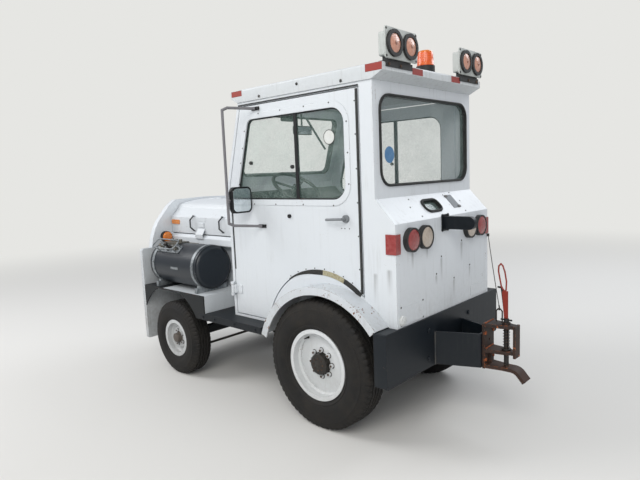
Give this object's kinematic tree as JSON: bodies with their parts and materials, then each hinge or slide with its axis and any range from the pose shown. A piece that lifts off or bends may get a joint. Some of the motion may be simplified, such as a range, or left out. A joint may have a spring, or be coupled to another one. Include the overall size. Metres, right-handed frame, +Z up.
{
  "type": "airport baggage tug",
  "caption": "Small four-wheeled tow tractor with a steel cab, swinging doors, lifting bonnet covers, a side gas tank, steered front wheels and a sprung drop-pin hitch.",
  "frame": {"origin": "on the ground under the middle of the vehicle's box", "axes": "+X forward along the length, +Y to the driver's left, +Z up"},
  "size_m": [2.995, 1.515, 2.296],
  "materials": {
    "body_white": "worn semi-gloss white paint with grime and chips",
    "frame_black": "worn blue-black chassis paint",
    "axle_black": "greasy matt black paint",
    "engine_grey": "cast and painted",
    "bumper_rubber": "matt",
    "hitch_steel": "rusted steel with remains of black paint",
    "tank_paint": "dark blue-grey tank paint",
    "strap_steel": "dull zinc",
    "valve_brass": "dull brass",
    "seal_rubber": "weathered black rubber",
    "window_glass": "clear, faintly green",
    "dash_plastic": "grained",
    "wheel_plastic": "satin",
    "seat_vinyl": "black vinyl",
    "lamp_box_grey": "light grey paint",
    "lamp_black": "satin",
    "lens_red": "ribbed lens",
    "lens_amber": "ribbed lens",
    "lens_clear": "ribbed lens",
    "fittings_black": "satin black",
    "tyre": "worn rubber",
    "rim_white": "dirty white paint",
    "rim_grey": "dirty grey-white paint",
    "pin_steel": "greased dark steel",
    "handle_red": "worn red paint"
  },
  "bodies": {
    "chassis": {"chassis_frame": "frame_black", "rear_axle": "axle_black", "front_axle": "axle_black", "engine_block": "engine_grey", "front_plate": "body_white", "front_rubber": "bumper_rubber", "rear_bumper": "frame_black", "hitch_body": "hitch_steel", "nose_cowl": "body_white", "grille": "frame_black", "engine_sides": "body_white", "front_fenders": "body_white", "lpg_tank": "tank_paint", "tank_straps": "strap_steel", "tank_valves": "valve_brass", "cab_sides": "body_white", "cab_front": "body_white", "cab_rear": "body_white", "roof": "body_white", "cab_floor": "frame_black", "rear_fenders": "body_white", "window_rubbers": "seal_rubber", "cab_glass": "window_glass", "dashboard": "dash_plastic", "seat_base": "frame_black", "seat_cushions": "seat_vinyl", "rear_arm": "frame_black", "roof_lamp_boxes": "lamp_box_grey", "lamp_bodies": "lamp_black", "lenses_red": "lens_red", "lenses_amber": "lens_amber", "lenses_clear": "lens_clear", "pin_spring": "pin_steel", "release_cable": "pin_steel"},
    "door_left": {"door_left": "body_white", "door_glass_left": "window_glass", "door_fittings_left": "fittings_black"},
    "hood_cover_left": {"hood_cover_left": "body_white"},
    "knuckle_left": {"knuckle_left": "axle_black"},
    "wheel_front_left": {"wheel_front_left": "rim_grey", "tyre_front_left": "tyre"},
    "wheel_rear_left": {"wheel_rear_left": "rim_white", "tyre_rear_left": "tyre"},
    "door_right": {"door_right": "body_white", "door_glass_right": "window_glass", "door_fittings_right": "fittings_black"},
    "hood_cover_right": {"hood_cover_right": "body_white"},
    "knuckle_right": {"knuckle_right": "axle_black"},
    "wheel_front_right": {"wheel_front_right": "rim_grey", "tyre_front_right": "tyre"},
    "wheel_rear_right": {"wheel_rear_right": "rim_white", "tyre_rear_right": "tyre"},
    "tie_rod": {"tie_rod": "axle_black"},
    "steering_wheel": {"steering_wheel": "wheel_plastic"},
    "tow_pin": {"tow_pin": "pin_steel", "pin_handle": "handle_red"}
  },
  "joints": [
    {"name": "wheel_rear_left_spin", "type": "hinge", "parent": "chassis", "child": "wheel_rear_left", "pos_m": [-0.4675, 0.57, 0.4], "axis": [0, 1, 0], "continuous": true},
    {"name": "wheel_rear_right_spin", "type": "hinge", "parent": "chassis", "child": "wheel_rear_right", "pos_m": [-0.4675, -0.57, 0.4], "axis": [0, 1, 0], "continuous": true},
    {"name": "steer_left", "type": "hinge", "parent": "chassis", "child": "knuckle_left", "pos_m": [1.0725, 0.478, 0.294], "axis": [0, 0, 1], "range_deg": [-30, 30]},
    {"name": "wheel_front_left_spin", "type": "hinge", "parent": "knuckle_left", "child": "wheel_front_left", "pos_m": [1.0725, 0.572, 0.294], "axis": [0, 1, 0], "continuous": true},
    {"name": "steer_right", "type": "hinge", "parent": "chassis", "child": "knuckle_right", "pos_m": [1.0725, -0.478, 0.294], "axis": [0, 0, 1], "range_deg": [-30, 30]},
    {"name": "wheel_front_right_spin", "type": "hinge", "parent": "knuckle_right", "child": "wheel_front_right", "pos_m": [1.0725, -0.572, 0.294], "axis": [0, 1, 0], "continuous": true},
    {"name": "tie_rod_swing", "type": "hinge", "parent": "knuckle_left", "child": "tie_rod", "pos_m": [0.9725, 0.478, 0.2065], "axis": [0, 0, 1], "range_deg": [-30, 30]},
    {"name": "steering_wheel_turn", "type": "hinge", "parent": "chassis", "child": "steering_wheel", "pos_m": [0.0325, 0.24, 1.46], "axis": [-0.5736, 0, 0.8192], "range_deg": [-450, 450]},
    {"name": "door_left_hinge", "type": "hinge", "parent": "chassis", "child": "door_left", "pos_m": [0.3855, 0.575, 1.08], "axis": [0, 0, -1], "range_deg": [0, 75]},
    {"name": "door_right_hinge", "type": "hinge", "parent": "chassis", "child": "door_right", "pos_m": [0.3855, -0.575, 1.08], "axis": [0, 0, 1], "range_deg": [0, 75]},
    {"name": "hood_cover_left_hinge", "type": "hinge", "parent": "chassis", "child": "hood_cover_left", "pos_m": [0.8925, 0.032, 1.368], "axis": [1, 0, 0], "range_deg": [0, 60]},
    {"name": "hood_cover_right_hinge", "type": "hinge", "parent": "chassis", "child": "hood_cover_right", "pos_m": [0.8925, -0.032, 1.368], "axis": [-1, 0, 0], "range_deg": [0, 60]},
    {"name": "tow_pin_lift", "type": "slide", "parent": "chassis", "child": "tow_pin", "axis": [0, 0, 1], "range_m": [0, 0.092], "stiffness_N_per_m": 400, "springref_m": -0.02, "deforming": ["pin_spring"]}
  ],
  "couplings": [
    {"joint": "steer_right", "follows": "steer_left", "ratio": 1},
    {"joint": "tie_rod_swing", "follows": "steer_left", "ratio": -1},
    {"joint": "steering_wheel_turn", "follows": "steer_left", "ratio": 15}
  ]
}
